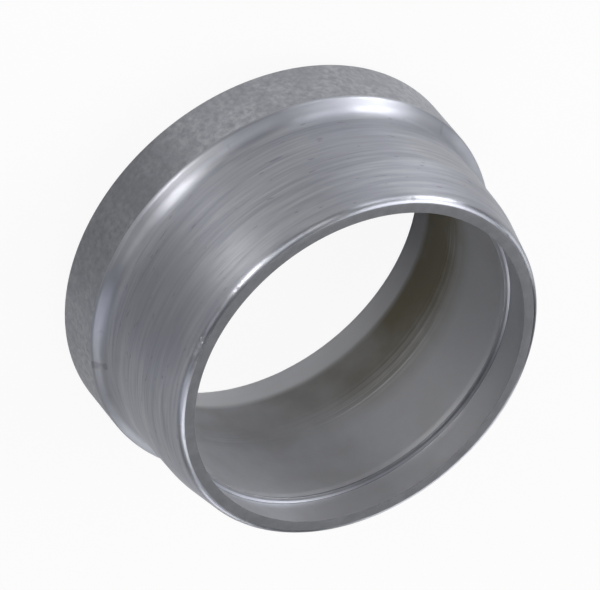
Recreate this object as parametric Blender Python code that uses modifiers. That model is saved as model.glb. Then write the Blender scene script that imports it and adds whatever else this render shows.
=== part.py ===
"""Cutting ring for a 15 mm hydraulic tube, light series: one ring of steel, turned all round.

It stands on its rear face, with its axis along +Z and its cutting nose at the top. The origin is the
centre of the rear face. From the rear: a 45 degree chamfer that a union nut presses on, a collar, a
step down to the body, a slim cone that ends in a rounded nose, and a bore with two cutting edges.
"""

import math

import bmesh
import bpy

MM = 0.001

# Lengths along the axis, in millimetres
LENGTH = 9.80
STEP_DEPTH = 6.12  # from the nose to the corner of the collar's front shoulder
CROWN_DEPTH = 4.55  # from the nose to where the body is fattest
SECOND_EDGE_DEPTH = 1.68  # from the nose to the second cutting edge
RELIEF_LENGTH = 0.32  # the shallow relief right behind the second edge
LEAD_IN_LENGTH = 1.30  # the flare at the rear of the bore

# Radii and walls, in millimetres
BORE_RADIUS = 7.55
NOSE_WALL = 0.69  # wall at the sharp corner that the nose round takes off
BODY_WALL = 1.09  # wall where the nose cone meets the body
CROWN_WALL = 1.16  # wall where the body is fattest
WAIST_WALL = 1.12  # wall at the foot of the shoulder
COLLAR_WALL = 1.69
RECESS_HEIGHT = 0.25  # how far the recess between the two edges goes into the wall
RELIEF_HEIGHT = 0.06
LEAD_IN_HEIGHT = 0.23
REAR_LAND = 0.21  # flat ring that the part stands on

# Angles in degrees
NOSE_CONE_ANGLE = 10.5
NOSE_FACE_ANGLE = 9.0  # the front face falls away from the first cutting edge
UNDERCUT_ANGLE = 40.0  # the back of the first cutting edge, from the ring's plane
SECOND_EDGE_ANGLE = 12.0  # the front of the second cutting edge, from the ring's plane
CHAMFER_ANGLE = 45.0
SHOULDER_ANGLE = 52.0  # the steepest part of the shoulder, from the axis

# Corner rounds, in millimetres
NOSE_ROUND = 0.20
CONE_ROUND = 3.0
CROWN_ROUND = 8.0
SHOULDER_ROOT_ROUND = 0.85
SHOULDER_EDGE_ROUND = 0.22
COLLAR_REAR_ROUND = 0.15
LEAD_IN_ROUND = 1.2
EDGE_ROUND = 0.012
RECESS_ROUND = 0.10

FLATS_PER_TURN = 96
SHARP_ANGLE = 28.0
MOST_OF_A_SIDE = 0.6  # a corner's round never takes more of a side than this
SEAM_GAP = 1e-6  # in metres: the last flat joins the first one within this


def slope(angle):
    return math.tan(math.radians(angle))


def outer_corners():
    """Corners of the outside as (radius, height, corner round, steps), from the first edge to the rear."""
    nose = BORE_RADIUS + NOSE_WALL
    nose_height = LENGTH - NOSE_WALL * slope(NOSE_FACE_ANGLE)
    body = BORE_RADIUS + BODY_WALL
    body_height = nose_height - (body - nose) / slope(NOSE_CONE_ANGLE)
    collar = BORE_RADIUS + COLLAR_WALL
    rear = BORE_RADIUS + LEAD_IN_HEIGHT + REAR_LAND
    chamfer_height = (collar - rear) * slope(CHAMFER_ANGLE)
    shoulder_height = LENGTH - STEP_DEPTH
    shoulder_rise = (COLLAR_WALL - WAIST_WALL) / slope(SHOULDER_ANGLE)
    return [
        (BORE_RADIUS, LENGTH, EDGE_ROUND, 2),
        (nose, nose_height, NOSE_ROUND, 6),
        (body, body_height, CONE_ROUND, 2),
        (BORE_RADIUS + CROWN_WALL, LENGTH - CROWN_DEPTH, CROWN_ROUND, 2),
        (BORE_RADIUS + WAIST_WALL, shoulder_height + shoulder_rise, SHOULDER_ROOT_ROUND, 7),
        (collar, shoulder_height, SHOULDER_EDGE_ROUND, 4),
        (collar, chamfer_height, COLLAR_REAR_ROUND, 3),
        (rear, 0.0, 0.0, 0),
    ]


def bore_corners():
    """Corners of the inside, in the same form, from the rear face up to the first cutting edge."""
    flare = BORE_RADIUS + LEAD_IN_HEIGHT
    recess = BORE_RADIUS + RECESS_HEIGHT
    relief = BORE_RADIUS + RELIEF_HEIGHT
    second_edge = LENGTH - SECOND_EDGE_DEPTH
    return [
        (flare, 0.0, 0.0, 0),
        (BORE_RADIUS, LEAD_IN_LENGTH, LEAD_IN_ROUND, 2),
        (BORE_RADIUS, second_edge - RELIEF_LENGTH, 0.0, 0),
        (relief, second_edge - RELIEF_LENGTH / 2, 0.0, 0),
        (BORE_RADIUS, second_edge, EDGE_ROUND, 2),
        (recess, second_edge + RECESS_HEIGHT * slope(SECOND_EDGE_ANGLE), RECESS_ROUND, 3),
        (recess, LENGTH - RECESS_HEIGHT * slope(UNDERCUT_ANGLE), RECESS_ROUND, 3),
    ]


def corner_arc(before, corner, after, size, steps):
    """Points that round a corner of the section. The round gives way where a side is too short for it."""
    ahead = [a - c for a, c in zip(after, corner)]
    behind = [b - c for b, c in zip(before, corner)]
    ahead_length, behind_length = math.hypot(*ahead), math.hypot(*behind)
    ahead = [value / ahead_length for value in ahead]
    behind = [value / behind_length for value in behind]
    half_angle = math.acos(max(-1.0, min(1.0, ahead[0] * behind[0] + ahead[1] * behind[1]))) / 2
    longest = MOST_OF_A_SIDE * min(ahead_length, behind_length)
    reach = min(size / math.tan(half_angle), longest)
    radius = reach * math.tan(half_angle)
    inward = [p + q for p, q in zip(ahead, behind)]
    to_centre = reach / math.cos(half_angle) / math.hypot(*inward)
    centre = [c + i * to_centre for c, i in zip(corner, inward)]
    start = [c + b * reach for c, b in zip(corner, behind)]
    first = math.atan2(start[1] - centre[1], start[0] - centre[0])
    end = [c + a * reach for c, a in zip(corner, ahead)]
    turn = math.remainder(math.atan2(end[1] - centre[1], end[0] - centre[0]) - first, math.tau)
    return [
        (centre[0] + radius * math.cos(first + turn * i / steps),
         centre[1] + radius * math.sin(first + turn * i / steps))
        for i in range(steps + 1)
    ]


def section_points():
    """The closed section of the ring, down its outside and up its bore."""
    corners = outer_corners() + bore_corners()
    points = []
    for index, (radius, height, size, steps) in enumerate(corners):
        before = corners[index - 1][:2]
        after = corners[(index + 1) % len(corners)][:2]
        if steps:
            points += corner_arc(before, (radius, height), after, size, steps)
        else:
            points.append((radius, height))
    return points


def steel_material():
    material = bpy.data.materials.new("zinc_coated_steel")
    material.use_nodes = True
    shader = material.node_tree.nodes["Principled BSDF"]
    shader.inputs["Base Color"].default_value = (0.33, 0.34, 0.36, 1.0)
    shader.inputs["Metallic"].default_value = 1.0
    shader.inputs["Roughness"].default_value = 0.42
    return material


def section_object(collection):
    """The section as a wire in the XZ plane, turned about Z by its Screw modifier."""
    mesh = bpy.data.meshes.new("ring_section")
    drawing = bmesh.new()
    vertices = [drawing.verts.new((radius * MM, 0.0, height * MM)) for radius, height in section_points()]
    for index, vertex in enumerate(vertices):
        drawing.edges.new((vertices[index - 1], vertex))
    drawing.to_mesh(mesh)
    drawing.free()
    section = bpy.data.objects.new("ring_section", mesh)
    collection.objects.link(section)
    screw = section.modifiers.new("turn", "SCREW")
    screw.axis = "Z"
    screw.steps = FLATS_PER_TURN
    screw.render_steps = FLATS_PER_TURN
    screw.use_merge_vertices = True
    screw.merge_threshold = SEAM_GAP
    return section


def cutting_ring(collection):
    """The turned ring as a mesh, smooth along its rounds and crisp at its edges."""
    section = section_object(collection)
    bpy.context.view_layer.update()
    turned = section.evaluated_get(bpy.context.evaluated_depsgraph_get())
    mesh = bpy.data.meshes.new_from_object(turned)
    bpy.data.objects.remove(section)
    mesh.name = "cutting_ring"
    mesh.shade_smooth()
    mesh.set_sharp_from_angle(angle=math.radians(SHARP_ANGLE))
    mesh.materials.append(steel_material())
    ring = bpy.data.objects.new("cutting_ring", mesh)
    collection.objects.link(ring)
    return ring


for old in list(bpy.data.objects):
    bpy.data.objects.remove(old)
parts = bpy.data.collections.new("cutting_ring_parts")
bpy.context.scene.collection.children.link(parts)
cutting_ring(parts)
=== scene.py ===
"""Looks of a steel cutting ring for a 15 mm tube, standing on its rear face with its nose up."""

import math

import bmesh
import bpy
from mathutils import Matrix, Vector, noise


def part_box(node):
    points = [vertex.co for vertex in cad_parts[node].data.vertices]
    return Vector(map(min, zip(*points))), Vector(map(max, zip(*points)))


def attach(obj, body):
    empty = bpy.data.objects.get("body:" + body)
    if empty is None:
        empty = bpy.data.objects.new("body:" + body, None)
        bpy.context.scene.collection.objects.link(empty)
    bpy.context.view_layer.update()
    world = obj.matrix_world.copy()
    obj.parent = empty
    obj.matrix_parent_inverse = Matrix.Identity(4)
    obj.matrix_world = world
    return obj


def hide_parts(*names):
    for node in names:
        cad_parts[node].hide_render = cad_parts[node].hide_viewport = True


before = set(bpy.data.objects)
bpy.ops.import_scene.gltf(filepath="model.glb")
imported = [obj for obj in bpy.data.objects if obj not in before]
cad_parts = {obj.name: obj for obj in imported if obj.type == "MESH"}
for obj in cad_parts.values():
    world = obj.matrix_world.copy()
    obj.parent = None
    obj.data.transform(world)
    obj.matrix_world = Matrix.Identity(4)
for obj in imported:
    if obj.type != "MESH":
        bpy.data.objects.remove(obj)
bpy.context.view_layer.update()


# The ring's section. The real ring is turned from a steel bar in one clamping, so one closed outline
# holds it all: nose round, slim cone, crowned body, swept shoulder, collar and rear chamfer outside,
# and inside a bore with a lead-in, a relief, and a recess between the two cutting edges.

MM = 0.001
COLLAR_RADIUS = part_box("cutting_ring")[1].x / MM
RING_LENGTH = 9.80

BORE_RADIUS = 7.55
NOSE_RADIUS = BORE_RADIUS + 0.69
BODY_RADIUS = BORE_RADIUS + 1.09
CROWN_RADIUS = BORE_RADIUS + 1.16
WAIST_RADIUS = BORE_RADIUS + 1.12
RECESS_RADIUS = BORE_RADIUS + 0.25
RELIEF_RADIUS = BORE_RADIUS + 0.05
FLARE_RADIUS = BORE_RADIUS + 0.23
REAR_RADIUS = FLARE_RADIUS + 0.21

# Angles in degrees, the first two from the axis and the others from the ring's plane
NOSE_CONE_ANGLE = 10.5
SHOULDER_ANGLE = 52.0
NOSE_FACE_ANGLE = 3.0
SECOND_EDGE_ANGLE = 12.0
UNDERCUT_ANGLE = 40.0


def slope(angle):
    """How much a side at this angle rises over its run."""
    return math.tan(math.radians(angle))


NOSE_FACE_HEIGHT = RING_LENGTH - (NOSE_RADIUS - BORE_RADIUS) * slope(NOSE_FACE_ANGLE)
CONE_FOOT = NOSE_FACE_HEIGHT - (BODY_RADIUS - NOSE_RADIUS) / slope(NOSE_CONE_ANGLE)
CROWN_HEIGHT = RING_LENGTH - 4.55
SHOULDER_HEIGHT = RING_LENGTH - 6.12
SHOULDER_RISE = (COLLAR_RADIUS - WAIST_RADIUS) / slope(SHOULDER_ANGLE)
SECOND_EDGE = RING_LENGTH - 1.68
RELIEF_END = SECOND_EDGE - 0.32
RELIEF_DEEPEST = SECOND_EDGE - 0.11
RECESS_FOOT = SECOND_EDGE + (RECESS_RADIUS - BORE_RADIUS) * slope(SECOND_EDGE_ANGLE)
RECESS_TOP = RING_LENGTH - (RECESS_RADIUS - BORE_RADIUS) * slope(UNDERCUT_ANGLE)
STEP_LAND = 0.125
LEAD_IN_END = 1.30

# Each corner: its radius, height and round in mm, and the steps that the round is drawn in
SECTION_CORNERS = [
    (BORE_RADIUS, RING_LENGTH, 0.012, 4),
    (NOSE_RADIUS, NOSE_FACE_HEIGHT, 0.34, 16),
    (BODY_RADIUS, CONE_FOOT, 3.0, 5),
    (CROWN_RADIUS, CROWN_HEIGHT, 8.0, 5),
    (WAIST_RADIUS, SHOULDER_HEIGHT + SHOULDER_RISE, 0.85, 14),
    (COLLAR_RADIUS, SHOULDER_HEIGHT, 0.22, 8),
    (COLLAR_RADIUS, COLLAR_RADIUS - REAR_RADIUS, 0.15, 5),
    (REAR_RADIUS, 0.0, 0.0, 0),
    (FLARE_RADIUS, 0.0, 0.0, 0),
    (BORE_RADIUS, LEAD_IN_END, 1.2, 4),
    (BORE_RADIUS, RELIEF_END, 0.8, 4),
    (RELIEF_RADIUS, RELIEF_DEEPEST, 0.05, 3),
    (BORE_RADIUS, SECOND_EDGE, 0.008, 3),
    (BORE_RADIUS + STEP_LAND, SECOND_EDGE + STEP_LAND * slope(SECOND_EDGE_ANGLE), 0.0, 0),
    (RECESS_RADIUS, RECESS_FOOT, 0.03, 4),
    (RECESS_RADIUS, RECESS_TOP, 0.10, 4),
]
MOST_OF_A_SIDE = 0.6
STRAIGHT_PIECE = 0.35


def rounded(before, corner, after, size, steps):
    """Points of the arc that rounds a corner, which never takes more than a share of either side."""
    corner = Vector(corner)
    ahead, behind = Vector(after) - corner, Vector(before) - corner
    half_angle = ahead.angle(behind) / 2
    longest = MOST_OF_A_SIDE * min(ahead.length, behind.length)
    reach = min(size / math.tan(half_angle), longest)
    inward = (ahead.normalized() + behind.normalized()).normalized()
    centre = corner + inward * reach / math.cos(half_angle)
    start = corner + behind.normalized() * reach - centre
    end = corner + ahead.normalized() * reach - centre
    return [centre + start.slerp(end, i / steps).normalized() * start.length for i in range(steps + 1)]


def section_points():
    """The closed outline, with its straight stretches cut into short pieces."""
    corners = []
    for index, (radius, height, size, steps) in enumerate(SECTION_CORNERS):
        before = SECTION_CORNERS[index - 1][:2]
        after = SECTION_CORNERS[(index + 1) % len(SECTION_CORNERS)][:2]
        if steps:
            corners += rounded(before, (radius, height), after, size, steps)
        else:
            corners.append(Vector((radius, height)))
    points = []
    for index, point in enumerate(corners):
        following = corners[(index + 1) % len(corners)]
        pieces = max(1, round((following - point).length / STRAIGHT_PIECE))
        points += [point.lerp(following, i / pieces) for i in range(pieces)]
    return points


# The ring itself is the outline spun about its axis, with its sharp edges kept crisp. Handling has
# roughened one stretch of the thin nose, and has lightly marked three more.

STEPS_AROUND = 720
SEAM_GAP = 1e-7
SHARP_ANGLE = 24.0

# Each rough stretch of the nose: where its middle is and its width in degrees, and its depth in mm
ROUGH_STRETCHES = [
    (302.0, 4.5, 0.045),
    (282.0, 2.0, 0.012),
    (95.0, 1.5, 0.02),
    (20.0, 2.0, 0.02),
]
# Their height, reach and least radius in mm. They end so many reaches below their middle.
ROUGH_MIDDLE = RING_LENGTH - 0.1
ROUGH_REACH = 0.30
ROUGH_END = 2
ROUGH_LEAST_RADIUS = BORE_RADIUS + 0.35
ROUGH_GRAIN = 0.12
GRAIN_SHIFT = 0.3


def spin_ring(name):
    """A closed mesh of the outline turned once round Z, its normals outwards."""
    shape = bmesh.new()
    vertices = [shape.verts.new((p.x * MM, 0.0, p.y * MM)) for p in section_points()]
    edges = [shape.edges.new((vertices[i - 1], v)) for i, v in enumerate(vertices)]
    bmesh.ops.spin(
        shape, geom=vertices + edges, cent=(0, 0, 0), axis=(0, 0, 1),
        angle=math.tau, steps=STEPS_AROUND, use_merge=True,
    )
    bmesh.ops.remove_doubles(shape, verts=shape.verts, dist=SEAM_GAP)
    bmesh.ops.recalc_face_normals(shape, faces=shape.faces)
    mesh = bpy.data.meshes.new(name)
    shape.to_mesh(mesh)
    shape.free()
    return mesh


def roughen_nose(mesh):
    """Presses grains into the nose's outer round, deepest in the middle of each rough stretch."""
    for vertex in mesh.vertices:
        radius = math.hypot(vertex.co.x, vertex.co.y) / MM
        below = (ROUGH_MIDDLE - vertex.co.z / MM) / ROUGH_REACH
        if below > ROUGH_END or radius < ROUGH_LEAST_RADIUS:
            continue
        angle = math.degrees(math.atan2(vertex.co.y, vertex.co.x))
        depth = 0.0
        for where, width, deepest in ROUGH_STRETCHES:
            away = ((angle - where + 180) % 360 - 180) / width
            depth += deepest * math.exp(-away * away - below * below)
        grain = noise.noise(vertex.co / (ROUGH_GRAIN * MM))
        outward = Vector((vertex.co.x, vertex.co.y, radius * MM)).normalized()
        vertex.co -= outward * max(0.0, GRAIN_SHIFT + grain) * depth * MM


ring_mesh = spin_ring("turned_ring")
roughen_nose(ring_mesh)
ring = bpy.data.objects.new("turned_ring", ring_mesh)
bpy.context.scene.collection.objects.link(ring)
ring_mesh.shade_smooth()
ring_mesh.set_sharp_from_angle(angle=math.radians(SHARP_ANGLE))
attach(ring, "root")
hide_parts("cutting_ring")


# Turned steel under a thin zinc coat, on all of the outside but the collar. The tool leaves rings of
# fine grooves that streak the light along the part. The coat is a touch blue and rubbed smooth on the
# nose. One stretch of the body, on its shaded side, is painted darker as painted shade.

TURNED_GROOVE = 0.13 * MM
TURNED_CHATTER = 0.45 * MM
TURNED_CLOUD = 3.5 * MM
TURNED_MARK = 0.16 * MM
GROOVE_DEPTH = 0.02 * MM
CHATTER_DEPTH = 0.05 * MM
BODY_SHADE_WAY = (0.469, -0.883, 0.0)
BODY_SHADE_START, BODY_SHADE_FULL = 7.9 * MM, 8.7 * MM
BODY_SHADE_FOOT, BODY_SHADE_TOP = 4.5 * MM, 5.3 * MM
BODY_SHADE_SHARE = 0.5
POLISH_START, POLISH_FULL = 9.2 * MM, 9.5 * MM
POLISH = -0.09
TANGENT_TURN = 0.25


def linear(hex_colour):
    """An sRGB hex colour as linear red, green, blue and 1."""
    values = [int(hex_colour[i:i + 2], 16) / 255 for i in (1, 3, 5)]
    return [v / 12.92 if v <= 0.04045 else ((v + 0.055) / 1.055) ** 2.4 for v in values] + [1.0]


def add_node(tree, kind, inputs=None, **settings):
    """Adds a node with its settings. Each of inputs is a value, or an output to link from."""
    node = tree.nodes.new(kind)
    for name, value in settings.items():
        setattr(node, name, value)
    for name, value in (inputs or {}).items():
        if isinstance(value, bpy.types.NodeSocket):
            tree.links.new(value, node.inputs[name])
        else:
            node.inputs[name].default_value = value
    return node


def new_material(name):
    """An empty node tree with a Principled BSDF, and both of them."""
    material = bpy.data.materials.new(name)
    material.use_nodes = True
    return material, material.node_tree, material.node_tree.nodes["Principled BSDF"]


def lathe_coordinates(tree, around, across):
    """A vector that follows the tool's path: slow round the ring, quick along and across its section."""
    place = add_node(tree, "ShaderNodeTexCoord").outputs["Object"]
    flat = add_node(tree, "ShaderNodeVectorMath", {0: place, 1: (1, 1, 0)}, operation="MULTIPLY")
    direction = add_node(tree, "ShaderNodeVectorMath", {0: flat.outputs[0]}, operation="NORMALIZE")
    turned = add_node(
        tree, "ShaderNodeVectorMath", {0: direction.outputs[0], "Scale": around}, operation="SCALE")
    radius = add_node(tree, "ShaderNodeVectorMath", {0: flat.outputs[0]}, operation="LENGTH")
    height = add_node(tree, "ShaderNodeSeparateXYZ", {0: place})
    along = add_node(
        tree, "ShaderNodeMath", {0: height.outputs["Z"], 1: radius.outputs["Value"]},
        operation="ADD")
    lines = add_node(
        tree, "ShaderNodeMath", {0: along.outputs[0], 1: 1 / across}, operation="MULTIPLY")
    rise = add_node(tree, "ShaderNodeCombineXYZ", {"Z": lines.outputs[0]})
    return add_node(
        tree, "ShaderNodeVectorMath", {0: turned.outputs[0], 1: rise.outputs[0]},
        operation="ADD").outputs[0]


def turned_steel():
    material, tree, shader = new_material("turned_zinc_coated_steel")
    place = add_node(tree, "ShaderNodeTexCoord").outputs["Object"]
    fine = add_node(
        tree, "ShaderNodeTexNoise",
        {"Vector": lathe_coordinates(tree, around=2.6, across=TURNED_GROOVE),
         "Scale": 1.0, "Detail": 3.0}).outputs["Fac"]
    broad = add_node(
        tree, "ShaderNodeTexNoise",
        {"Vector": lathe_coordinates(tree, around=1.0, across=TURNED_CHATTER),
         "Scale": 1.0, "Detail": 2.0}).outputs["Fac"]
    cloud = add_node(
        tree, "ShaderNodeTexNoise",
        {"Vector": place, "Scale": 1 / TURNED_CLOUD, "Detail": 3.0}).outputs["Fac"]
    line_share = add_node(
        tree, "ShaderNodeMapRange", {"Value": fine, "From Min": 0.3, "From Max": 0.7})
    tone = add_node(
        tree, "ShaderNodeMix",
        {"Factor": line_share.outputs["Result"], "A": linear("#979aa2"), "B": linear("#b2b4ba")},
        data_type="RGBA")
    cloud_share = add_node(
        tree, "ShaderNodeMapRange",
        {"Value": cloud, "From Min": 0.35, "From Max": 0.7, "To Max": 0.5})
    clouded = add_node(
        tree, "ShaderNodeMix",
        {"Factor": cloud_share.outputs["Result"], "A": tone.outputs["Result"],
         "B": linear("#999aa7")}, data_type="RGBA")
    dashes = add_node(
        tree, "ShaderNodeTexNoise",
        {"Vector": lathe_coordinates(tree, around=14.0, across=TURNED_MARK),
         "Scale": 1.0, "Detail": 1.0}).outputs["Fac"]
    mark_share = add_node(
        tree, "ShaderNodeMapRange",
        {"Value": dashes, "From Min": 0.70, "From Max": 0.76, "To Max": 0.45})
    marked = add_node(
        tree, "ShaderNodeMix",
        {"Factor": mark_share.outputs["Result"], "A": clouded.outputs["Result"],
         "B": linear("#77777d")}, data_type="RGBA")
    rise = add_node(tree, "ShaderNodeSeparateXYZ", {0: place})
    # Painted shade: above the sweep, the body is painted darker on the side where it lies in shadow.
    towards = add_node(
        tree, "ShaderNodeVectorMath", {0: place, 1: BODY_SHADE_WAY}, operation="DOT_PRODUCT")
    shaded_stretch = add_node(
        tree, "ShaderNodeMapRange",
        {"Value": towards.outputs["Value"], "From Min": BODY_SHADE_START, "From Max": BODY_SHADE_FULL})
    above_sweep = add_node(
        tree, "ShaderNodeMapRange",
        {"Value": rise.outputs["Z"], "From Min": BODY_SHADE_FOOT, "From Max": BODY_SHADE_TOP,
         "To Max": BODY_SHADE_SHARE})
    painted_shade_share = add_node(
        tree, "ShaderNodeMath",
        {0: shaded_stretch.outputs["Result"], 1: above_sweep.outputs["Result"]}, operation="MULTIPLY")
    painted_shade_mixed = add_node(
        tree, "ShaderNodeMix",
        {"Factor": painted_shade_share.outputs[0], "A": marked.outputs["Result"], "B": linear("#74767c")},
        data_type="RGBA")
    tree.links.new(painted_shade_mixed.outputs["Result"], shader.inputs["Base Color"])
    shader.inputs["Metallic"].default_value = 1.0
    shader.inputs["Anisotropic"].default_value = 0.7
    shader.inputs["Anisotropic Rotation"].default_value = TANGENT_TURN
    tangent = add_node(tree, "ShaderNodeTangent", direction_type="RADIAL", axis="Z")
    tree.links.new(tangent.outputs[0], shader.inputs["Tangent"])
    roughness = add_node(
        tree, "ShaderNodeMapRange",
        {"Value": broad, "From Min": 0.3, "From Max": 0.7, "To Min": 0.38, "To Max": 0.48})
    polish = add_node(
        tree, "ShaderNodeMapRange",
        {"Value": rise.outputs["Z"], "From Min": POLISH_START, "From Max": POLISH_FULL,
         "To Max": POLISH})
    worn = add_node(
        tree, "ShaderNodeMath", {0: roughness.outputs["Result"], 1: polish.outputs["Result"]},
        operation="ADD")
    tree.links.new(worn.outputs[0], shader.inputs["Roughness"])
    grooves = add_node(
        tree, "ShaderNodeBump", {"Height": fine, "Strength": 0.5, "Distance": GROOVE_DEPTH})
    chatter = add_node(
        tree, "ShaderNodeBump",
        {"Height": broad, "Strength": 0.5, "Distance": CHATTER_DEPTH, "Normal": grooves.outputs[0]})
    tree.links.new(chatter.outputs[0], shader.inputs["Normal"])
    return material


# Faced steel, the same coat with no streaks to speak of: an even satin grey. The nose's front has it,
# and so have the back of the first edge, the inner half of the second edge's step, and the corner at
# the foot of the recess.

FACED_CLOUD = 0.5 * MM


def faced_steel():
    material, tree, shader = new_material("faced_zinc_coated_steel")
    place = add_node(tree, "ShaderNodeTexCoord").outputs["Object"]
    cloud = add_node(
        tree, "ShaderNodeTexNoise",
        {"Vector": place, "Scale": 1 / FACED_CLOUD, "Detail": 4.0}).outputs["Fac"]
    cloud_share = add_node(
        tree, "ShaderNodeMapRange", {"Value": cloud, "From Min": 0.3, "From Max": 0.7})
    tone = add_node(
        tree, "ShaderNodeMix",
        {"Factor": cloud_share.outputs["Result"], "A": linear("#797b7f"), "B": linear("#86878c")},
        data_type="RGBA")
    tree.links.new(tone.outputs["Result"], shader.inputs["Base Color"])
    shader.inputs["Metallic"].default_value = 1.0
    shader.inputs["Roughness"].default_value = 0.55
    return material


# The collar keeps the grey grain of blasting under its coat: matt, darker than the turned steel, and
# rough to the touch. At the front it is painted darker on its shaded side, a painted shade like the
# body's.

GRIT_SIZE = 0.24 * MM
GRIT_DEPTH = 0.03 * MM
COLLAR_PATCH = 1.6 * MM
COLLAR_SHADE_WAY = (0.391, -0.921, 0.0)
COLLAR_SHADE_START, COLLAR_SHADE_FULL = 8.0 * MM, 9.1 * MM
COLLAR_SHADE_SHARE = 0.4


def blasted_steel():
    material, tree, shader = new_material("blasted_zinc_coated_steel")
    place = add_node(tree, "ShaderNodeTexCoord").outputs["Object"]
    grit = add_node(
        tree, "ShaderNodeTexNoise",
        {"Vector": place, "Scale": 1 / GRIT_SIZE, "Detail": 4.0, "Roughness": 0.6}).outputs["Fac"]
    patch = add_node(
        tree, "ShaderNodeTexNoise",
        {"Vector": place, "Scale": 1 / COLLAR_PATCH, "Detail": 3.0}).outputs["Fac"]
    grit_share = add_node(
        tree, "ShaderNodeMapRange", {"Value": grit, "From Min": 0.3, "From Max": 0.7})
    tone = add_node(
        tree, "ShaderNodeMix",
        {"Factor": grit_share.outputs["Result"], "A": linear("#999ba1"), "B": linear("#bbbdc3")},
        data_type="RGBA")
    patch_share = add_node(
        tree, "ShaderNodeMapRange",
        {"Value": patch, "From Min": 0.35, "From Max": 0.7, "To Max": 0.6})
    clouded = add_node(
        tree, "ShaderNodeMix",
        {"Factor": patch_share.outputs["Result"], "A": tone.outputs["Result"],
         "B": linear("#9c9ea5")}, data_type="RGBA")
    # Painted shade: the collar is painted darker towards the front, on the side where it lies in shadow.
    towards = add_node(
        tree, "ShaderNodeVectorMath", {0: place, 1: COLLAR_SHADE_WAY}, operation="DOT_PRODUCT")
    painted_shade_share = add_node(
        tree, "ShaderNodeMapRange",
        {"Value": towards.outputs["Value"], "From Min": COLLAR_SHADE_START,
         "From Max": COLLAR_SHADE_FULL, "To Max": COLLAR_SHADE_SHARE})
    painted_shade_mixed = add_node(
        tree, "ShaderNodeMix",
        {"Factor": painted_shade_share.outputs["Result"], "A": clouded.outputs["Result"],
         "B": linear("#505257")}, data_type="RGBA")
    tree.links.new(painted_shade_mixed.outputs["Result"], shader.inputs["Base Color"])
    shader.inputs["Metallic"].default_value = 1.0
    roughness = add_node(
        tree, "ShaderNodeMapRange",
        {"Value": patch, "From Min": 0.3, "From Max": 0.7, "To Min": 0.60, "To Max": 0.70})
    tree.links.new(roughness.outputs["Result"], shader.inputs["Roughness"])
    grain = add_node(
        tree, "ShaderNodeBump", {"Height": grit, "Strength": 0.8, "Distance": GRIT_DEPTH})
    tree.links.new(grain.outputs[0], shader.inputs["Normal"])
    return material


# The bore is reamed smooth, with one band of coarser tool lines. Little light gets in. Its colour is
# painted darker towards one side as painted shade, and its flared lead-in is painted near white on the
# other side as painted light. Oil has left a faint brown film towards the rear, heavier on the darker
# side, where it is also painted shade.

REAM_LINE = 0.10 * MM
BORE_PATCH = 2.6 * MM
PAINTED_LIGHT_SIDE, PAINTED_SHADE_SIDE = 5.5 * MM, -5.5 * MM
FILM_AND_SHADE_LEAST, FILM_AND_SHADE_MOST = 5.5 * MM, -5.0 * MM
LEAD_IN_FADE, LEAD_IN_FULL = 1.6 * MM, 1.3 * MM
FILM_TOP, FILM_TOP_FULL = 5.2 * MM, 3.0 * MM
FILM_FOOT, FILM_FOOT_FULL = 1.2 * MM, 1.6 * MM
TOOL_LINE = 0.16 * MM
TOOL_LINE_DEPTH = 0.10 * MM
TOOL_BAND_FOOT, TOOL_BAND_FOOT_FULL = 3.0 * MM, 3.5 * MM
TOOL_BAND_TOP, TOOL_BAND_TOP_FULL = 4.4 * MM, 4.1 * MM


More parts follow.
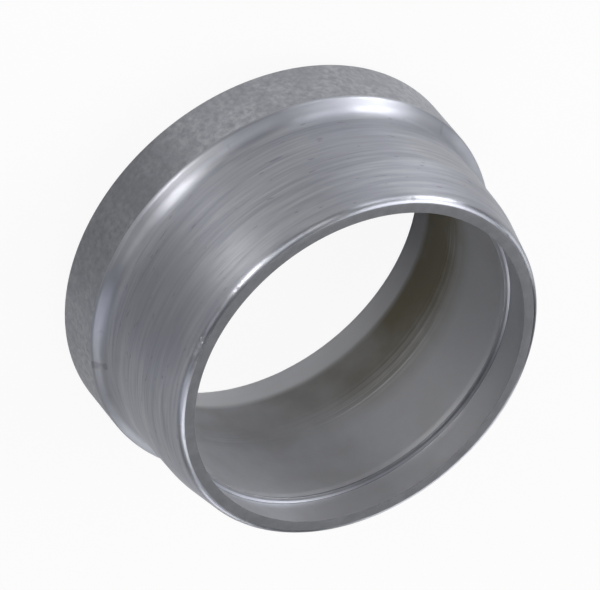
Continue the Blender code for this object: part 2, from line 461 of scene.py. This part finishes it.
def bored_steel():
    material, tree, shader = new_material("reamed_oiled_steel")
    place = add_node(tree, "ShaderNodeTexCoord").outputs["Object"]
    parts = add_node(tree, "ShaderNodeSeparateXYZ", {0: place})
    fine = add_node(
        tree, "ShaderNodeTexNoise",
        {"Vector": lathe_coordinates(tree, around=2.5, across=REAM_LINE),
         "Scale": 1.0, "Detail": 3.0}).outputs["Fac"]
    patches = add_node(
        tree, "ShaderNodeTexNoise",
        {"Vector": place, "Scale": 1 / BORE_PATCH, "Detail": 4.0}).outputs["Fac"]
    mottle = add_node(
        tree, "ShaderNodeMapRange", {"Value": patches, "From Min": 0.35, "From Max": 0.65})
    tone = add_node(
        tree, "ShaderNodeMix",
        {"Factor": mottle.outputs["Result"], "A": linear("#dfe1e8"), "B": linear("#d0d1d6")},
        data_type="RGBA")
    # Painted shade: the bore is painted darker from one side to the other.
    side = add_node(
        tree, "ShaderNodeMapRange",
        {"Value": parts.outputs["X"], "From Min": PAINTED_LIGHT_SIDE, "From Max": PAINTED_SHADE_SIDE})
    # The brown film is real oil; its heavier side is also painted shade.
    film_and_shade_side = add_node(
        tree, "ShaderNodeMapRange",
        {"Value": parts.outputs["X"], "From Min": FILM_AND_SHADE_LEAST, "From Max": FILM_AND_SHADE_MOST, "To Min": 0.22})
    shaded_side = add_node(
        tree, "ShaderNodeMix",
        {"Factor": side.outputs["Result"], "A": tone.outputs["Result"], "B": linear("#adaeb1")},
        data_type="RGBA")
    # Painted light: the lead-in is painted near white on the bore's lit side.
    lead_in = add_node(
        tree, "ShaderNodeMapRange",
        {"Value": parts.outputs["Z"], "From Min": LEAD_IN_FADE, "From Max": LEAD_IN_FULL})
    lead_in_painted_light = add_node(
        tree, "ShaderNodeMath", {0: lead_in.outputs["Result"], 1: side.outputs["Result"]},
        operation="SUBTRACT", use_clamp=True)
    lead_in_lit = add_node(
        tree, "ShaderNodeMix",
        {"Factor": lead_in_painted_light.outputs[0], "A": shaded_side.outputs["Result"], "B": linear("#fbfcff")},
        data_type="RGBA")
    patch_share = add_node(
        tree, "ShaderNodeMapRange",
        {"Value": patches, "From Min": 0.3, "From Max": 0.7, "To Min": 0.8, "To Max": 1.3})
    top = add_node(
        tree, "ShaderNodeMapRange",
        {"Value": parts.outputs["Z"], "From Min": FILM_TOP, "From Max": FILM_TOP_FULL})
    foot = add_node(
        tree, "ShaderNodeMapRange",
        {"Value": parts.outputs["Z"], "From Min": FILM_FOOT, "From Max": FILM_FOOT_FULL})
    band = add_node(
        tree, "ShaderNodeMath", {0: top.outputs["Result"], 1: foot.outputs["Result"]},
        operation="MULTIPLY")
    uneven = add_node(
        tree, "ShaderNodeMath", {0: film_and_shade_side.outputs["Result"], 1: patch_share.outputs["Result"]},
        operation="MULTIPLY")
    film = add_node(
        tree, "ShaderNodeMath", {0: band.outputs[0], 1: uneven.outputs[0]},
        operation="MULTIPLY", use_clamp=True)
    oiled = add_node(
        tree, "ShaderNodeMix",
        {"Factor": film.outputs[0], "A": lead_in_lit.outputs["Result"], "B": linear("#7d7869")},
        data_type="RGBA")
    tree.links.new(oiled.outputs["Result"], shader.inputs["Base Color"])
    shader.inputs["Metallic"].default_value = 1.0
    shader.inputs["Roughness"].default_value = 0.5
    shader.inputs["Anisotropic"].default_value = 0.3
    shader.inputs["Anisotropic Rotation"].default_value = TANGENT_TURN
    tangent = add_node(tree, "ShaderNodeTangent", direction_type="RADIAL", axis="Z")
    tree.links.new(tangent.outputs[0], shader.inputs["Tangent"])
    lines = add_node(
        tree, "ShaderNodeBump", {"Height": fine, "Strength": 0.1, "Distance": GROOVE_DEPTH})
    tool_marks = add_node(
        tree, "ShaderNodeTexNoise",
        {"Vector": lathe_coordinates(tree, around=0.6, across=TOOL_LINE),
         "Scale": 1.0, "Detail": 1.0}).outputs["Fac"]
    tool_band = add_node(
        tree, "ShaderNodeMapRange",
        {"Value": parts.outputs["Z"], "From Min": TOOL_BAND_FOOT, "From Max": TOOL_BAND_FOOT_FULL})
    tool_end = add_node(
        tree, "ShaderNodeMapRange",
        {"Value": parts.outputs["Z"], "From Min": TOOL_BAND_TOP, "From Max": TOOL_BAND_TOP_FULL})
    band_share = add_node(
        tree, "ShaderNodeMath", {0: tool_band.outputs["Result"], 1: tool_end.outputs["Result"]},
        operation="MULTIPLY")
    tool_height = add_node(
        tree, "ShaderNodeMath", {0: tool_marks, 1: band_share.outputs[0]}, operation="MULTIPLY")
    grooved = add_node(
        tree, "ShaderNodeBump",
        {"Height": tool_height.outputs[0], "Strength": 0.6, "Distance": TOOL_LINE_DEPTH,
         "Normal": lines.outputs[0]})
    tree.links.new(grooved.outputs[0], shader.inputs["Normal"])
    return material


for steel in (turned_steel(), faced_steel(), blasted_steel(), bored_steel()):
    ring_mesh.materials.append(steel)
TURNED, FACED, BLASTED, BORED = range(4)

# Where the steels end: the least upward normal of a faced land, and places in the section in mm
FACED_NORMAL = 0.97
COLLAR_SKIN = COLLAR_RADIUS - 0.05
COLLAR_TOP = SHOULDER_HEIGHT - 0.1
FOOT_CORNER = RECESS_FOOT + 0.006
FOOT_CORNER_REACH = 0.014
BORED_TOP = SECOND_EDGE - 0.14

for face in ring_mesh.polygons:
    radius = math.hypot(face.center.x, face.center.y) / MM
    height = face.center.z / MM
    outwards = face.normal.x * face.center.x + face.normal.y * face.center.y > 0
    if face.normal.z > FACED_NORMAL and (height > RECESS_TOP or radius < BORE_RADIUS + STEP_LAND):
        face.material_index = FACED
    elif radius > COLLAR_SKIN and height < COLLAR_TOP:
        face.material_index = BLASTED
    elif not outwards and (abs(height - FOOT_CORNER) < FOOT_CORNER_REACH or height > RECESS_TOP):
        face.material_index = FACED
    elif not outwards and not BORED_TOP < height < RECESS_FOOT:
        face.material_index = BORED


# The studio: a pale paper floor, a hair below the ring so that no two faces coincide, faintly lit air,
# and soft lamps all round. The low ones on the left and in front gleam along the ring's rounds; the
# high ones light the paper, which the collar, the body and the bore mirror.

FLOOR_SIDE = 0.6
FLOOR_GAP = 0.02 * MM
BACKGROUND_SHARE = 0.92
AIR_GLOW = 0.03


def floor_paper():
    material, tree, shader = new_material("white_studio_paper")
    shader.inputs["Base Color"].default_value = linear("#cfcfcf")
    shader.inputs["Roughness"].default_value = 0.9
    white = add_node(tree, "ShaderNodeEmission", {"Color": (1, 1, 1, 1), "Strength": 1.0})
    path = add_node(tree, "ShaderNodeLightPath")
    share = add_node(
        tree, "ShaderNodeMath", {0: path.outputs["Is Camera Ray"], 1: BACKGROUND_SHARE},
        operation="MULTIPLY")
    mixed = add_node(
        tree, "ShaderNodeMixShader",
        {0: share.outputs[0], 1: shader.outputs[0], 2: white.outputs[0]})
    tree.links.new(mixed.outputs[0], tree.nodes["Material Output"].inputs["Surface"])
    return material


floor_shape = bmesh.new()
bmesh.ops.create_grid(
    floor_shape, x_segments=1, y_segments=1, size=FLOOR_SIDE / 2,
    matrix=Matrix.Translation((0, 0, -FLOOR_GAP)),
)
floor_mesh = bpy.data.meshes.new("studio_floor")
floor_shape.to_mesh(floor_mesh)
floor_shape.free()
floor_mesh.materials.append(floor_paper())
studio_floor = bpy.data.objects.new("studio_floor", floor_mesh)
bpy.context.scene.collection.objects.link(studio_floor)

world = bpy.data.worlds.new("studio_air")
bpy.context.scene.world = world
world.use_nodes = True
air = world.node_tree
seen = add_node(air, "ShaderNodeLightPath").outputs["Is Camera Ray"]
strength = add_node(air, "ShaderNodeMix", {"Factor": seen, "A": AIR_GLOW, "B": 1.0})
background = air.nodes["Background"]
background.inputs["Color"].default_value = (1, 1, 1, 1)
air.links.new(strength.outputs["Result"], background.inputs["Strength"])


def soft_lamp(name, azimuth, elevation, distance, width, height, radiance, colour):
    """A lamp that looks at the ring's middle. Its power follows from how bright its face is."""
    data = bpy.data.lights.new(name, "AREA")
    data.shape = "RECTANGLE"
    data.size, data.size_y = width, height
    data.energy = radiance * math.pi * width * height
    data.color = linear(colour)[:3]
    lamp = bpy.data.objects.new(name, data)
    a, e = math.radians(azimuth), math.radians(elevation)
    out = Vector((math.cos(a) * math.cos(e), math.sin(a) * math.cos(e), math.sin(e)))
    aim = Vector((0, 0, RING_LENGTH * MM / 2))
    facing_ring = out.to_track_quat("Z", "Y").to_matrix().to_4x4()
    lamp.matrix_world = Matrix.Translation(aim + out * distance) @ facing_ring
    bpy.context.scene.collection.objects.link(lamp)


soft_lamp("left_key", 180.0, 14.0, 0.20, 0.08, 0.07, 7.6, "#ffffff")
soft_lamp("left_high", 162.0, 58.0, 0.12, 0.06, 0.05, 4.0, "#ffffff")
soft_lamp("left_fill", 209.0, 13.0, 0.20, 0.08, 0.07, 2.9, "#ffffff")
soft_lamp("back_left_low", 130.0, 13.0, 0.20, 0.07, 0.07, 2.5, "#ffffff")
soft_lamp("back_left_soft", 148.0, 44.0, 0.20, 0.12, 0.08, 2.6, "#ffffff")
soft_lamp("back_low", 90.0, 13.0, 0.20, 0.07, 0.07, 3.4, "#ffffff")
soft_lamp("back_right_low", 52.0, 13.0, 0.20, 0.07, 0.07, 3.0, "#ffffff")
soft_lamp("back_right_soft", 35.0, 46.0, 0.20, 0.10, 0.08, 3.4, "#ffffff")
soft_lamp("top_soft", 90.0, 68.0, 0.20, 0.08, 0.07, 1.2, "#ffffff")
soft_lamp("front_left_high", 247.0, 44.0, 0.20, 0.12, 0.08, 1.9, "#ffffff")
soft_lamp("front_low", 283.0, 14.0, 0.20, 0.08, 0.06, 3.0, "#fffdf8")
soft_lamp("front_gleam", 283.0, 30.0, 0.20, 0.045, 0.06, 14.0, "#fffdf8")
soft_lamp("front_high", 266.0, 48.0, 0.20, 0.08, 0.07, 1.4, "#fffdf8")
soft_lamp("front_right_fill", 316.0, 32.0, 0.20, 0.09, 0.07, 1.6, "#ffffff")
soft_lamp("right_weak", 354.0, 28.0, 0.20, 0.08, 0.08, 1.5, "#f2f5ff")


# The camera looks down on the standing ring and is rolled, so that the axis points to the lower right
# of the picture as the photograph shows it. Its lens is long, so the ring looks nearly flat on.

FRAME_WIDTH, FRAME_HEIGHT = 600, 590
VIEW_ELEVATION = 44.18
CAMERA_ROLL = 140.26
NOSE_DISTANCE = 0.4465
LENS_PIXELS = 10952
NOSE_CENTRE_PIXEL = (360.65, 368.45)
SENSOR_WIDTH = 36.0
NEAR_CLIP, FAR_CLIP = 0.01, 10.0

camera_data = bpy.data.cameras.new("studio_camera")
camera_data.sensor_width = SENSOR_WIDTH
camera_data.lens = LENS_PIXELS / FRAME_WIDTH * SENSOR_WIDTH
camera_data.clip_start, camera_data.clip_end = NEAR_CLIP, FAR_CLIP
camera = bpy.data.objects.new("studio_camera", camera_data)
bpy.context.scene.collection.objects.link(camera)
bpy.context.scene.camera = camera
turn = (
    Matrix.Rotation(math.radians(90 - VIEW_ELEVATION), 4, "X")
    @ Matrix.Rotation(math.radians(CAMERA_ROLL), 4, "Z")
)
nose_right = (NOSE_CENTRE_PIXEL[0] - FRAME_WIDTH / 2) / LENS_PIXELS * NOSE_DISTANCE
nose_down = (NOSE_CENTRE_PIXEL[1] - FRAME_HEIGHT / 2) / LENS_PIXELS * NOSE_DISTANCE
nose_from_camera = Vector((nose_right, -nose_down, -NOSE_DISTANCE))
nose_centre = Vector((0, 0, RING_LENGTH * MM))
camera.matrix_world = Matrix.Translation(nose_centre - turn.to_3x3() @ nose_from_camera) @ turn

bpy.context.scene.view_settings.view_transform = "Standard"
